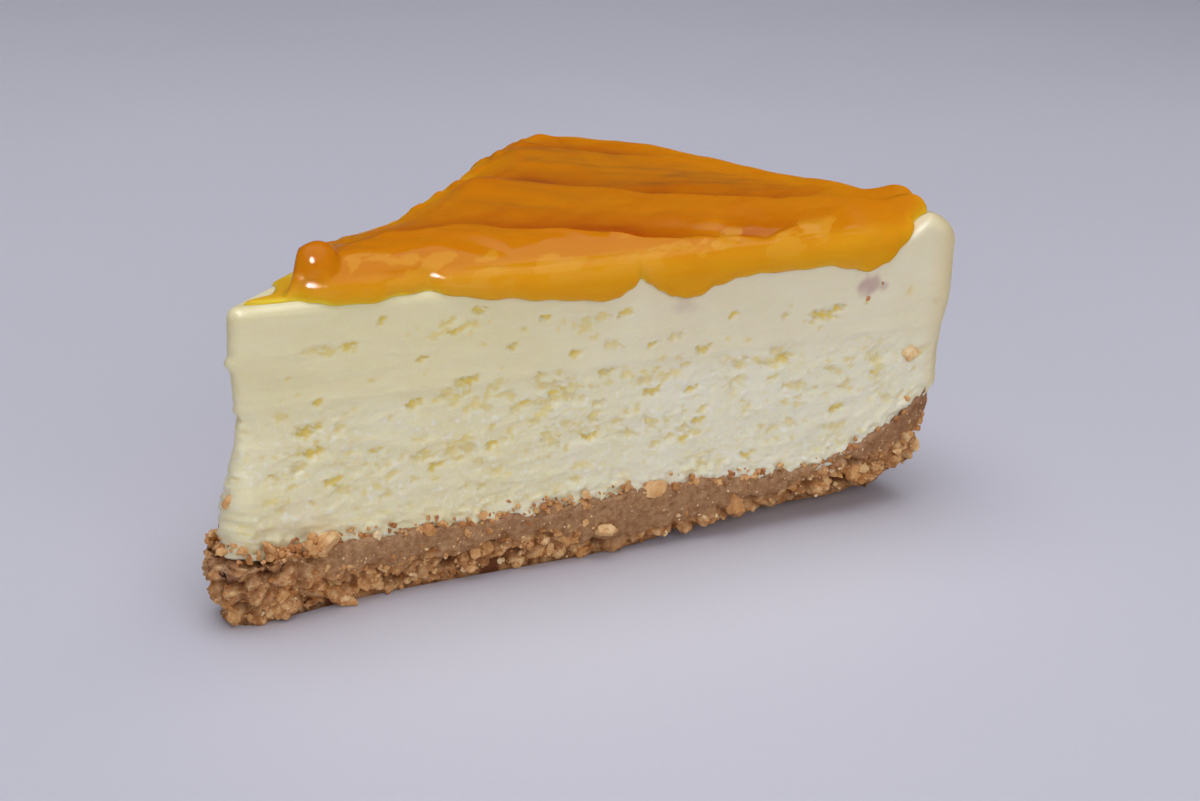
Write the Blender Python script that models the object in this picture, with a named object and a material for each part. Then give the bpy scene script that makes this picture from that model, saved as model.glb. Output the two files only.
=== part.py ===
"""One slice of mango cheesecake: a biscuit base, a cheese filling and a spooned mango topping.

All shapes are worked out in the cut frame, in millimetres: its origin is the centre of the whole cake,
where the two cuts meet, u runs along the near cut, v runs square to it into the slice, and z is up from
the plate. The part frame puts the slice's length along X and its origin under the middle of its box.
"""

import math

import bmesh
import bpy
import numpy as np
from mathutils import Vector, noise

MM = 0.001

# Driving dimensions of the whole cake and of the cut
CAKE_RADIUS = 103.6
CUT_ANGLE = math.radians(45)
CAKE_HEIGHT = 38.4
BASE_HEIGHT = 8.6
TOPPING_DEPTH = 4.2
CENTRE_X = 51.1
CENTRE_Y = 0.0

# Rounding of the plan outline and of the edges
TIP_ROUND = 1.5
CORNER_ROUND = 3.6
CUT_EDGE_ROUND = 1.3
RIM_EDGE_ROUND = 4.0
BASE_CORNER_ROUND = 15.0
BASE_EDGE_ROUND = 1.2
RIM_BULGE = 0.6
RIM_RISE = 0.4
CORNER_RISE = 2.4

# The topping's lip: how thick its very edge is, how far in it is rounded, and how wide its fine band is
LIP_EDGE = 0.25
LIP_ROUND = 1.8
LIP_BAND = 7.0
THIN_SAUCE = 0.6

# Clear gap between neighbouring pieces
GAP = 0.35

# Where the topping ends on the near cut: distance from the cake's centre, height of its lip
NEAR_LIP = (
    (6.0, 38.7), (14.0, 37.9), (24.5, 38.2), (35.0, 36.6), (48.0, 35.0), (51.5, 35.6), (54.2, 37.3),
    (57.0, 35.6), (60.7, 34.0), (64.0, 35.0), (69.0, 36.1), (82.0, 36.1), (88.2, 35.2), (91.0, 36.0),
    (93.0, 37.6),
)
# The same on the far cut
FAR_LIP = (
    (8.0, 38.6), (20.0, 37.2), (31.0, 36.2), (40.0, 37.3), (52.0, 36.9), (60.0, 37.2), (70.0, 35.9),
    (80.0, 35.4), (90.0, 36.4),
)
# Where the topping ends on the rim: angle from the near cut in degrees, distance in from the rim
RIM_INSET = (
    (0.0, 3.2), (0.8, 5.0), (1.6, 5.2), (3.4, 4.2), (8.0, 5.2), (14.0, 5.6), (21.0, 6.6), (28.0, 5.4),
    (35.0, 6.0), (41.0, 5.0), (44.5, 3.4),
)
# How much of its depth the topping keeps at the far edge, by distance from the cake's centre
FAR_EDGE_SHARE = (
    (18.0, 0.5), (32.0, 0.35), (38.0, 0.06), (50.0, 0.06), (56.0, 0.14), (64.0, 0.06), (70.0, 0.12),
    (76.0, 0.3), (84.0, 0.48),
)

# The topping's creases, across the strokes of the spoon: points along the stroke and across it
STROKE_ANGLE = math.radians(-27)
CREASES = (
    {"line": ((8.0, 31.0), (19.0, 29.5), (30.0, 30.2), (40.0, 29.4), (48.0, 28.6), (56.0, 29.5)),
     "drop": 2.3, "front": 9.0, "back": 8.0, "ends": (9.0, 57.0)},
    {"line": ((20.0, 57.0), (33.0, 60.0), (40.0, 57.5), (50.0, 51.8), (62.0, 50.2), (70.0, 52.4), (76.0, 57.0)),
     "drop": 1.9, "front": 8.0, "back": 9.0, "ends": (19.0, 78.0)},
    {"line": ((56.0, 32.0), (64.0, 34.5), (71.0, 40.4), (79.0, 51.5)),
     "drop": 0.9, "front": 6.0, "back": 7.0, "ends": (55.0, 80.0)},
    {"line": ((20.0, 78.0), (34.0, 75.0), (48.0, 73.0), (58.0, 74.0)),
     "drop": 1.2, "front": 9.0, "back": 8.0, "ends": (18.0, 62.0)},
)

# Mesh fineness before it is thinned out, and the share of the faces that is kept
STATIONS = 420
UNDER_RINGS = 22
SIDE_RINGS = 12
KEEP = {"biscuit_base": 0.125, "cheese_filling": 0.068, "mango_topping": 0.08}

# How high the base's lowest crumbs reach that the slice's weight presses flat on the plate
PRESSED_FLAT = 0.2

COLOURS = {
    "biscuit_base": ((0.33, 0.17, 0.08), 0.85),
    "cheese_filling": ((0.80, 0.72, 0.47), 0.55),
    "mango_topping": ((0.80, 0.27, 0.02), 0.12),
}


def smooth(start, end, x):
    """0 before start, 1 after end, and an easy curve between them."""
    t = np.clip((x - start) / (end - start), 0.0, 1.0)
    return t * t * (3.0 - 2.0 * t)


def through(points, x):
    """An easy curve through the given (x, y) points, level beyond its ends."""
    xs, ys = np.array(points).T
    k = np.clip(np.searchsorted(xs, x) - 1, 0, len(xs) - 2)
    return ys[k] + (ys[k + 1] - ys[k]) * smooth(xs[k], xs[k + 1], x)


def rough(points, size, seed=0.0, stretch=(1.0, 1.0, 1.0)):
    """Soft noise from -1 to 1 with lumps of about that size, stretched along each axis."""
    scale = 1.0 / (size * np.array(stretch))
    return np.array([noise.noise(Vector(p * scale) + Vector((seed, -seed, 0.5 * seed))) for p in points])


def lumps(points, size, seed=0.0):
    """Rounded crumbs packed together: 1 on the crown of each crumb, 0 in the cracks between them."""
    crowns = np.empty(len(points))
    for k, p in enumerate(points):
        near = noise.voronoi(Vector(p / size) + Vector((seed, seed, seed)))[0]
        crowns[k] = min(1.0, (near[1] - near[0]) * 1.6)
    return np.sqrt(crowns)


def radius_of(u, v):
    return np.hypot(u, v)


def outline():
    """Points and outward normals round the slice's plan, evenly spaced, starting at the near cut's tip."""
    half = CUT_ANGLE / 2
    tip_at = TIP_ROUND / math.tan(half)
    tip = np.array((tip_at, TIP_ROUND))
    inner = CAKE_RADIUS - CORNER_ROUND
    turn = math.asin(CORNER_ROUND / inner)
    along = inner * math.cos(turn)
    near_corner = np.array((along, CORNER_ROUND))
    far_corner = inner * np.array((math.cos(CUT_ANGLE - turn), math.sin(CUT_ANGLE - turn)))
    far_way = np.array((math.cos(CUT_ANGLE), math.sin(CUT_ANGLE)))
    right = math.pi / 2

    def arc(centre, radius, start, end):
        def at(t):
            angle = start + (end - start) * t
            normal = np.array((math.cos(angle), math.sin(angle)))
            return centre + radius * normal, normal

        return radius * (end - start), at

    def line(start, end, normal):
        return np.linalg.norm(end - start), lambda t: (start + (end - start) * t, normal)

    near_normal = np.array((0.0, -1.0))
    far_normal = np.array((-far_way[1], far_way[0]))
    parts = (
        line(np.array((tip_at, 0.0)), np.array((along, 0.0)), near_normal),
        arc(near_corner, CORNER_ROUND, -right, turn),
        arc(np.zeros(2), CAKE_RADIUS, turn, CUT_ANGLE - turn),
        arc(far_corner, CORNER_ROUND, CUT_ANGLE - turn, CUT_ANGLE + right),
        line(along * far_way, tip_at * far_way, far_normal),
        arc(tip, TIP_ROUND, CUT_ANGLE + right, 3 * right),
    )
    ends = np.cumsum([part[0] for part in parts])
    points, normals = [], []
    for s in (np.arange(STATIONS) + 0.5) / STATIONS * ends[-1]:
        k = int(np.searchsorted(ends, s))
        point, normal = parts[k][1]((s - ends[k] + parts[k][0]) / parts[k][0])
        points.append(point)
        normals.append(normal)
    return np.array(points), np.array(normals)


class Plan:
    """The outline's stations, and what depends only on where a station is."""

    def __init__(self):
        self.at, self.out = outline()
        self.middle = 0.64 * CAKE_RADIUS * np.array((math.cos(CUT_ANGLE / 2), math.sin(CUT_ANGLE / 2)))
        self.radius = radius_of(*self.at.T)
        self.angle = np.degrees(np.arctan2(self.at[:, 1], self.at[:, 0]))
        self.rim = smooth(CAKE_RADIUS - 6.0, CAKE_RADIUS - 0.3, self.radius)
        self.near = self.angle < math.degrees(CUT_ANGLE) / 2
        self.edge_round = CUT_EDGE_ROUND + (RIM_EDGE_ROUND - CUT_EDGE_ROUND) * self.rim
        self.edge_out = self.edge_round + RIM_BULGE * self.rim
        self.shoulder = self.at - self.out * self.edge_round[:, None]
        self.shoulder_height = filling_top(*self.shoulder.T)


def base_top(u, v):
    """Height of the face between base and filling: it climbs towards the rim and a little at the tip."""
    r = radius_of(u, v)
    climb = 9.2 * np.clip((r - 79.0) / 22.0, 0.0, None) ** 2
    return BASE_HEIGHT + climb + 1.6 * np.exp(-((r / 4.5) ** 2)) + 0.35 * np.sin(u / 7.0) * np.cos(v / 9.0)


def base_underside(u, v):
    """Height of the base's underside: flat, rounded up at the rim, and broken away under the near cut."""
    r = radius_of(u, v)
    x = np.clip(r - (CAKE_RADIUS + 0.7 - BASE_CORNER_ROUND), 0.0, 0.97 * BASE_CORNER_ROUND)
    corner = BASE_CORNER_ROUND - np.sqrt(BASE_CORNER_ROUND**2 - x**2)
    broken = 4.0 * smooth(46.0, 92.0, u) * (1.0 - smooth(-1.0, 8.0, v))
    return corner + broken


def from_far_cut(u, v):
    """Distance into the slice from the far cut."""
    return u * math.sin(CUT_ANGLE) - v * math.cos(CUT_ANGLE)


def filling_top(u, v):
    """Height of the filling's top: it sinks a little along the far cut and stands up at the rim."""
    r = radius_of(u, v)
    sunk = 0.8 * np.exp(-((from_far_cut(u, v) / 7.0) ** 2) - ((r - 54.0) / 17.0) ** 2)
    corner = 1.0 - smooth(3.5, 8.0, np.degrees(np.arctan2(v, u)))
    rim = (RIM_RISE + CORNER_RISE * corner) * smooth(CAKE_RADIUS - 10.0, CAKE_RADIUS - 4.2, r)
    return CAKE_HEIGHT + 0.2 * np.sin(u / 13.0 + 1.0) * np.cos(v / 11.0) - sunk + rim


def filling_offset(plan, z):
    """How far the filling stands out of the plan outline at height z, station by station."""
    tip = np.exp(-((plan.radius / 8.0) ** 2))
    flare = tip * (2.0 * (1.0 - smooth(14.0, 22.0, z)) - 0.6 * smooth(20.0, 24.0, z) * (1.0 - smooth(28.0, 33.0, z)))
    bulge = plan.rim * (RIM_BULGE * smooth(25.0, 31.0, z) - 0.5 * (1.0 - smooth(21.0, 29.0, z)))
    return flare + bulge


def fan(plan, start, shares, height):
    """Rings from the middle out to the start points, at the given shares of the way, on a height field."""
    rings = []
    for share in shares:
        flat = plan.middle + (start - plan.middle) * share
        rings.append(np.column_stack((flat, height(*flat.T))))
    return rings


def shares_to_edge(count, power=0.8):
    """Shares of the way from the middle, closer together towards the edge."""
    return (np.arange(1, count + 1) / count) ** power


def base_rings(plan):
    """The biscuit base, from the middle of its underside round to the middle of its top."""
    grow = (0.7 + 3.6 * np.exp(-((plan.radius / 14.0) ** 2))) * (1.0 - plan.rim) - 0.6 * plan.rim
    side = plan.at + plan.out * grow[:, None]
    foot = side - plan.out * BASE_EDGE_ROUND
    rings = fan(plan, foot, shares_to_edge(UNDER_RINGS, 0.55), base_underside)
    low = base_underside(*foot.T)
    high = base_top(*side.T) - GAP / 2
    for angle in np.radians((30.0, 60.0)):
        flat = foot + plan.out * BASE_EDGE_ROUND * math.sin(angle)
        rings.append(np.column_stack((flat, low + BASE_EDGE_ROUND * (1.0 - math.cos(angle)))))
    for share in np.linspace(0.0, 1.0, SIDE_RINGS):
        height = low + BASE_EDGE_ROUND + (high - 0.9 - low - BASE_EDGE_ROUND) * share
        rings.append(np.column_stack((side, height)))
    rings.append(np.column_stack((side - plan.out * 0.3, high - 0.25)))
    top = fan(plan, side - plan.out * 0.9, shares_to_edge(9), lambda u, v: base_top(u, v) - GAP / 2)
    return np.array(rings + top[::-1])


def filling_rings(plan):
    """The cheese filling, from the middle of its underside round to the middle of its top."""
    foot_height = base_top(*plan.at.T) + GAP / 2
    foot = plan.at + plan.out * filling_offset(plan, foot_height)[:, None]
    rings = fan(plan, foot - plan.out * 0.8, shares_to_edge(8), lambda u, v: base_top(u, v) + GAP / 2)
    shoulder, top = plan.shoulder, plan.shoulder_height
    for share in np.linspace(0.0, 1.0, 30):
        height = foot_height + 0.3 + (top - plan.edge_round - foot_height - 0.3) * share
        flat = plan.at + plan.out * filling_offset(plan, height)[:, None]
        rings.append(np.column_stack((flat, height)))
    for angle in np.radians((20.0, 45.0, 70.0)):
        flat = shoulder + plan.out * (plan.edge_out * math.cos(angle))[:, None]
        rings.append(np.column_stack((flat, top - plan.edge_round * (1.0 - math.sin(angle)))))
    rings += fan(plan, shoulder, shares_to_edge(18, 0.5), filling_top)[::-1]
    return np.array(rings)


def lip_reach(plan):
    """How far the topping runs out over the filling's edge from its flat top, station by station."""
    radius = plan.radius
    lip = np.where(plan.near, through(NEAR_LIP, radius), through(FAR_LIP, radius))
    drop = np.maximum(plan.shoulder_height - lip, 0.0)
    edge = plan.edge_round
    over = edge * np.arccos(np.clip(1.0 - drop / edge, 0.0, 1.0)) + np.maximum(drop - edge, 0.0)
    inset = edge - through(RIM_INSET, plan.angle)
    blend = smooth(CAKE_RADIUS - 12.0, CAKE_RADIUS - 7.0, radius)
    reach = over * (1.0 - blend) + inset * blend
    return reach - 1.6 * np.exp(-((radius / 4.0) ** 2))


def crown_point(plan, s):
    """Points on the filling's top and over its edge, with normals; s is 0 at the middle."""
    spoke = plan.shoulder - plan.middle
    length = np.linalg.norm(spoke, axis=1)
    flat = plan.middle + spoke * np.clip(s / length, 0.0, 1.0)[:, None]
    z = filling_top(*flat.T)
    over = np.clip(s - length, 0.0, None)
    angle = np.minimum(over / plan.edge_round, math.pi / 2)
    down = np.clip(over - plan.edge_round * math.pi / 2, 0.0, None)
    flat = flat + plan.out * (plan.edge_out * np.sin(angle))[:, None]
    z = z - plan.edge_round * (1.0 - np.cos(angle)) - down
    normals = np.column_stack((plan.out * np.sin(angle)[:, None], np.cos(angle)))
    return np.column_stack((flat, z)), normals


def strokes(u, v):
    """The folds that the spoon left: each rises to a crest and drops into a crease behind it."""
    across = -u * math.sin(STROKE_ANGLE) + v * math.cos(STROKE_ANGLE)
    along = u * math.cos(STROKE_ANGLE) + v * math.sin(STROKE_ANGLE)
    total = np.zeros_like(u)
    for crease in CREASES:
        start, end = crease["ends"]
        fade = smooth(start, start + 6.0, along) * (1.0 - smooth(end - 7.0, end, along))
        x = across - through(crease["line"], along)
        front = np.exp(np.minimum(x, 0.0) / crease["front"])
        back = -0.75 * np.exp(-np.maximum(x, 0.0) / crease["back"])
        behind = smooth(-0.9, 0.9, x)
        total += crease["drop"] * fade * (0.45 * front * (1.0 - behind) + 0.55 * back * behind)
    return total


def topping_depth(u, v):
    """Depth of the mango topping over the filling, before its lip is rounded off."""
    r = radius_of(u, v)
    near = np.maximum(v, 0.0)
    far = np.maximum(from_far_cut(u, v), 0.0)
    rim = np.maximum(CAKE_RADIUS - r - 3.6, 0.0)

    def rise(distance, width, start, power):
        return 1.0 - (1.0 - start) * (1.0 - np.minimum(distance / width, 1.0)) ** power

    thick_side = 0.34 - 0.16 * smooth(50.0, 66.0, r)
    slope = rise(near, 4.5 + 4.0 * smooth(15.0, 50.0, r), thick_side, 2.0)
    slope *= rise(far, 10.0 - 4.0 * smooth(70.0, 82.0, r), through(FAR_EDGE_SHARE, r), 1.4)
    slope *= rise(rim, 4.0, 0.35, 2.0)
    flat = np.column_stack((u, v, np.zeros_like(u)))
    waves = 0.35 * rough(flat, 9.0, 3.0) + 0.25 * rough(flat, 4.0, 5.0)
    body = (TOPPING_DEPTH + waves + strokes(u, v)) * slope
    mound = 0.3 * np.exp(-(((r - 97.6) / 4.0) ** 2) - ((v - 5.6) / 4.5) ** 2)
    wall = smooth(11.2, 12.9, r)
    return THIN_SAUCE + (body + mound + knob(u, v) - THIN_SAUCE) * wall


def knob(u, v):
    """The round knob of mango at the end of the last stroke, near the tip."""
    x = np.hypot((u - 14.2) / 1.1, v - 5.2)
    return 2.9 * np.sqrt(np.clip(1.0 - (x / 3.0) ** 2, 0.0, 1.0))


def topping_rings(plan):
    """The topping, from the middle of its underside out to its lip and back over its top."""
    total = np.linalg.norm(plan.shoulder - plan.middle, axis=1) + lip_reach(plan)
    inner = total - LIP_BAND
    rings = []
    for share in shares_to_edge(8):
        points, normals = crown_point(plan, inner * share)
        rings.append(points + normals * GAP)
    for inward in np.linspace(LIP_BAND, 0.0, 15)[1:]:
        points, normals = crown_point(plan, total - inward)
        rings.append(points + normals * GAP)
    steps = np.concatenate((np.zeros(1), np.geomspace(0.12, LIP_BAND, 20)))
    spokes = [total - inward for inward in steps] + [inner * share for share in np.linspace(1.0, 0.0, 40)[1:-1]]
    for spoke in spokes:
        points, normals = crown_point(plan, spoke)
        rounded = np.sqrt(1.0 - (1.0 - np.clip((total - spoke) / LIP_ROUND, 0.0, 1.0)) ** 2)
        depth = LIP_EDGE + (topping_depth(*points[:, :2].T) - LIP_EDGE) * rounded
        rings.append(points + normals * (GAP + depth)[:, None])
    return np.array(rings)


def outward(rings):
    """Unit vectors out of the skin at every point of its rings."""
    across = np.roll(rings, -1, axis=1) - np.roll(rings, 1, axis=1)
    up = np.gradient(rings, axis=0)
    normals = np.cross(across, up)
    return normals / np.maximum(np.linalg.norm(normals, axis=2, keepdims=True), 1e-9)


def crumble(rings):
    """The base's crags: coarse crumbs low on its sides, a smoother pressed band above them."""
    normals = outward(rings)
    moved = rings.copy()
    for k in range(8, UNDER_RINGS + SIDE_RINGS + 2):
        points = rings[k]
        coarse = 1.0 - 0.75 * smooth(3.5, 6.5, points[:, 2] - base_underside(*points[:, :2].T))
        relief = 1.4 * (lumps(points, 3.4) - 0.62) * coarse + 0.35 * rough(points, 2.2, 9.0)
        if k < UNDER_RINGS:
            relief *= smooth(0.1, 2.5, points[:, 2])
        moved[k] += normals[k] * relief[:, None]
    moved[:, :, 2] = np.maximum(moved[:, :, 2], 0.0)
    return moved


def knife_marks(rings, plan):
    """Low relief of the cut and of the curd on the filling's sides, fading out below the topping."""
    moved = rings.copy()
    for k in range(8, 38):
        points = rings[k]
        fade = (1.0 - smooth(30.0, 34.5, points[:, 2])) * smooth(0.0, 2.0, points[:, 2] - base_top(*plan.at.T))
        drag = 0.28 * rough(points, 5.0, 21.0, (3.0, 3.0, 0.7))
        curd = 0.22 * rough(points, 1.8, 33.0, (1.4, 1.4, 0.8))
        moved[k, :, :2] += plan.out * ((drag + curd) * fade)[:, None]
    return moved


def part_frame(points):
    """From the cut frame in millimetres to the part frame in metres."""
    c, s = math.cos(-CUT_ANGLE / 2), math.sin(-CUT_ANGLE / 2)
    u, v, z = points[..., 0], points[..., 1], points[..., 2]
    return np.stack((c * u - s * v - CENTRE_X, s * u + c * v - CENTRE_Y, z), axis=-1) * MM


def wrap(name, rings, collection):
    """A closed skin over the rings: a sphere's own rings and poles, moved to the points given."""
    count = len(rings)
    shape = bmesh.new()
    bmesh.ops.create_uvsphere(shape, u_segments=STATIONS, v_segments=count + 1, radius=1.0)
    places = part_frame(rings)
    bottom, top = places[0].mean(axis=0), places[-1].mean(axis=0)
    for vertex in shape.verts:
        ring = round(math.acos(max(-1.0, min(1.0, -vertex.co.z))) / math.pi * (count + 1)) - 1
        turn = round(math.atan2(vertex.co.y, vertex.co.x) / (2 * math.pi) * STATIONS) % STATIONS
        if ring < 0:
            vertex.co = bottom
        elif ring >= count:
            vertex.co = top
        else:
            vertex.co = places[ring, turn]
    mesh = bpy.data.meshes.new(name)
    shape.to_mesh(mesh)
    shape.free()
    mesh.shade_smooth()
    mesh.materials.append(material(name))
    obj = bpy.data.objects.new(name, mesh)
    collection.objects.link(obj)
    thin_out = obj.modifiers.new("thin_out", "DECIMATE")
    thin_out.ratio = KEEP[name]
    return obj


def material(name):
    colour, roughness = COLOURS[name]
    made = bpy.data.materials.new(name)
    made.use_nodes = True
    shader = made.node_tree.nodes["Principled BSDF"]
    shader.inputs["Base Color"].default_value = (*colour, 1.0)
    shader.inputs["Roughness"].default_value = roughness
    shader.inputs["Metallic"].default_value = 0.0
    return made


def lay_flat(obj):
    """Applies the thinning out, then presses the lowest points into one flat face to rest on."""
    full = obj.data
    thinned = bpy.data.meshes.new_from_object(obj.evaluated_get(bpy.context.evaluated_depsgraph_get()))
    obj.modifiers.clear()
    obj.data = thinned
    bpy.data.meshes.remove(full)
    thinned.name = obj.name
    for vertex in thinned.vertices:
        if vertex.co.z < PRESSED_FLAT * MM:
            vertex.co.z = 0.0


def main():
    for obj in list(bpy.data.objects):
        bpy.data.objects.remove(obj)
    collection = bpy.data.collections.new("mango_cheesecake_slice")
    bpy.context.scene.collection.children.link(collection)
    plan = Plan()
    base = wrap("biscuit_base", crumble(base_rings(plan)), collection)
    lay_flat(base)
    wrap("cheese_filling", knife_marks(filling_rings(plan), plan), collection)
    wrap("mango_topping", topping_rings(plan), collection)


main()
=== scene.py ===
import math

import bmesh
import bpy
import numpy as np
from mathutils import Matrix, Vector, noise


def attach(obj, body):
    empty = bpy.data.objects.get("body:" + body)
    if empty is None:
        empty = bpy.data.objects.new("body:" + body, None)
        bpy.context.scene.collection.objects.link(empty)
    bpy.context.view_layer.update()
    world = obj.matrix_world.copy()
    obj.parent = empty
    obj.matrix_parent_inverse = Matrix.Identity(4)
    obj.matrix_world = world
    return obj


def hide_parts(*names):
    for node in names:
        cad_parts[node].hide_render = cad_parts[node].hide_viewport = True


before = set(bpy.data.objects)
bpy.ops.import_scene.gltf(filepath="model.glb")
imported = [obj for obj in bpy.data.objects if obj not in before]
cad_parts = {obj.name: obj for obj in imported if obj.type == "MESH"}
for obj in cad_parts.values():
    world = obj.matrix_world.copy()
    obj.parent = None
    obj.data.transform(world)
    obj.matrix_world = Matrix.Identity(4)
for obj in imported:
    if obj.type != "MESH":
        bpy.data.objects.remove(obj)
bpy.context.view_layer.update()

MM = 0.001

# Driving dimensions, in millimetres, as in the part's source apart from the last four. Positions are in the
# cut frame: its origin is the centre of the whole cake, u runs along the near cut, v square to it into the
# slice, and z is up.
CAKE_RADIUS = 103.6
CUT_ANGLE = math.radians(45)
CAKE_HEIGHT = 38.4
BASE_HEIGHT = 8.6
TOPPING_DEPTH = 4.2
CENTRE_X = 51.1
CENTRE_Y = 0.0
TIP_ROUND = 1.5
CORNER_ROUND = 3.6
CUT_EDGE_ROUND = 1.3
RIM_EDGE_ROUND = 4.0
BASE_CORNER_ROUND = 15.0
BASE_EDGE_ROUND = 1.2
RIM_BULGE = 0.6
RIM_RISE = 0.4
CORNER_RISE = 2.4
LIP_EDGE = 0.12
LIP_ROUND = 1.5
LIP_BAND = 4.0
THIN_SAUCE = 0.5

# Where the topping ends on the near cut: distance from the cake's centre, height of its lip
NEAR_LIP = (
    (4.5, 39.8), (9.0, 38.9), (12.0, 38.4), (15.0, 37.9), (18.7, 37.8), (22.4, 38.1), (26.1, 38.3),
    (30.0, 37.4), (35.2, 36.6), (43.2, 35.7), (48.7, 35.0), (51.0, 35.2), (52.6, 36.0), (54.2, 37.2),
    (55.6, 36.4), (57.1, 35.5), (59.0, 34.6), (60.7, 34.0), (62.6, 34.2), (65.0, 35.4), (68.7, 36.1),
    (74.7, 36.3), (82.4, 36.1), (85.6, 35.6), (88.2, 35.0), (91.2, 35.8), (93.4, 37.4),
)
# The same on the far cut
FAR_LIP = (
    (8.0, 38.6), (20.0, 37.2), (31.0, 36.2), (40.0, 37.3), (52.0, 36.9), (60.0, 37.2), (70.0, 35.9),
    (80.0, 35.4), (90.0, 36.4),
)
# Where the topping ends on the rim: angle from the near cut in degrees, distance in from the rim
RIM_INSET = (
    (0.0, 3.2), (0.8, 5.0), (1.6, 5.2), (3.4, 4.2), (8.0, 5.2), (14.0, 5.6), (21.0, 6.6), (28.0, 5.4),
    (35.0, 6.0), (41.0, 5.0), (44.5, 3.4),
)
# How much of its depth the topping keeps at the rim, by angle from the near cut in degrees
RIM_SHARE = (
    (0.0, 0.55), (5.0, 0.7), (12.0, 0.8), (19.0, 0.4), (25.0, 0.55), (32.0, 0.8), (38.0, 0.55), (44.0, 0.45),
)
# How much of its depth the topping keeps at the far edge, by distance from the cake's centre
FAR_EDGE_SHARE = (
    (18.0, 0.5), (32.0, 0.35), (38.0, 0.06), (50.0, 0.06), (56.0, 0.14), (64.0, 0.06), (70.0, 0.12),
    (76.0, 0.3), (84.0, 0.48),
)

# The topping's creases, by distance along the spoon's strokes and across them: the crease's line, how far
# it drops, how long the slopes in front of it and behind it are, and where it starts and ends
STROKE_ANGLE = math.radians(-27)
CREASES = (
    {"line": (
        (8.0, 13.0), (13.0, 16.0), (19.0, 21.0), (28.0, 26.6), (40.0, 28.0), (48.0, 29.0), (58.0, 32.0),
    ), "drop": 1.5, "front": 7.0, "back": 7.0, "ends": (6.0, 66.0)},
    {"line": (
        (20.0, 49.0), (33.0, 50.5), (40.0, 49.5), (50.0, 46.0), (62.0, 45.0), (70.0, 48.0), (76.0, 54.0),
    ), "drop": 1.9, "front": 8.0, "back": 9.0, "ends": (19.0, 82.0)},
    {"line": (
        (56.0, 32.0), (64.0, 34.5), (71.0, 40.4), (79.0, 51.5),
    ), "drop": 1.1, "front": 6.0, "back": 7.0, "ends": (55.0, 80.0)},
    {"line": (
        (20.0, 78.0), (34.0, 75.0), (48.0, 73.0), (58.0, 74.0),
    ), "drop": 1.2, "front": 9.0, "back": 8.0, "ends": (18.0, 62.0)},
)
CREASE_FADES_IN = 7.0
CREASE_FADES_OUT = 22.0
CREASE_HALF_WIDTH = 0.55
# A crease that drops this far or more gets the darkest painted shade behind its crest
DARK_DROP = 1.5

# The knob near the tip: its middle, its half width along the near cut, its stretch the other way, its height
KNOB_AT = (13.5, 4.8)
KNOB_HALF = 2.9
KNOB_STRETCH = 1.3
KNOB_HEIGHT = 1.9
# A tongue of mango behind the near fold, by distance along the strokes and across them
TONGUE_AT = (27.0, 47.0)
TONGUE_SPREAD = (4.0, 3.5)
TONGUE_HEIGHT = 0.7
# A low mound at the rim, by distance from the cake's centre and from the near cut
MOUND_AT = (96.0, 12.0)
MOUND_SPREAD = (6.0, 9.0)
MOUND_HEIGHT = 0.3
# Where the thin sauce gives way to the thick topping, along the strokes
SAUCE_TO_TOPPING = (7.1, 8.3)
TOPPING_SUNK = -0.25

# The height of the line that the knife smeared along the near cut
SMEAR_HEIGHT = 26.2

# Clusters of pores on the near cut: middle, half width and height, how many pores
PORE_CLUSTERS = (
    (25.5, 34.0, 6.0, 1.3, 16), (11.0, 32.8, 3.5, 0.8, 9), (41.0, 32.0, 7.0, 2.4, 12),
    (30.0, 24.4, 11.0, 1.4, 26), (7.0, 20.5, 4.0, 3.4, 12), (24.0, 17.6, 9.0, 2.4, 14),
    (53.0, 24.4, 5.5, 1.6, 22), (57.5, 18.0, 4.0, 3.0, 8), (69.5, 24.2, 5.0, 1.2, 16),
    (85.0, 22.6, 9.0, 2.0, 12), (40.0, 18.0, 12.0, 3.4, 14), (72.0, 18.0, 12.0, 3.2, 12),
    (12.0, 14.4, 7.0, 1.8, 9), (36.0, 22.6, 8.0, 1.2, 12), (76.0, 29.0, 2.4, 1.0, 5),
)
LOOSE_PORES = 420
PORE_SEED = 11
# Single deep pores on the near cut: distance from the cake's centre, height, half width
DEEP_PORES = (
    (8.2, 26.4, 0.5), (16.5, 35.6, 0.5), (21.5, 30.2, 0.5), (33.0, 30.4, 0.5), (52.4, 28.4, 0.6),
    (28.8, 35.4, 0.7), (25.4, 33.1, 0.8), (12.3, 32.9, 0.7), (41.7, 28.4, 0.6), (27.3, 26.7, 0.9),
    (34.8, 22.8, 0.7), (39.1, 23.6, 1.0), (43.9, 17.0, 0.8), (30.5, 18.0, 0.6), (23.0, 16.1, 0.8),
    (9.8, 16.2, 0.9), (7.0, 22.9, 1.3), (7.6, 20.1, 1.0), (52.6, 22.1, 0.9), (58.6, 21.7, 0.8),
    (59.6, 17.1, 0.8), (59.9, 26.9, 0.8), (72.6, 24.2, 0.9), (81.2, 15.9, 0.9), (67.4, 11.3, 0.8),
    (57.5, 15.0, 0.6), (78.3, 29.5, 1.9), (87.4, 20.4, 0.6), (94.1, 22.1, 0.6), (20.2, 24.6, 0.9),
    (46.0, 25.4, 0.8), (48.4, 33.0, 0.7), (64.2, 31.0, 0.6), (15.4, 19.4, 0.7), (37.5, 33.6, 0.6),
)

# Stains on the near cut: distance from the cake's centre, height, size, strength
STAINS = ((88.8, 33.0, 1.7, 0.8), (91.2, 32.6, 0.8, 0.6), (60.7, 33.6, 1.7, 0.28))

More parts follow.
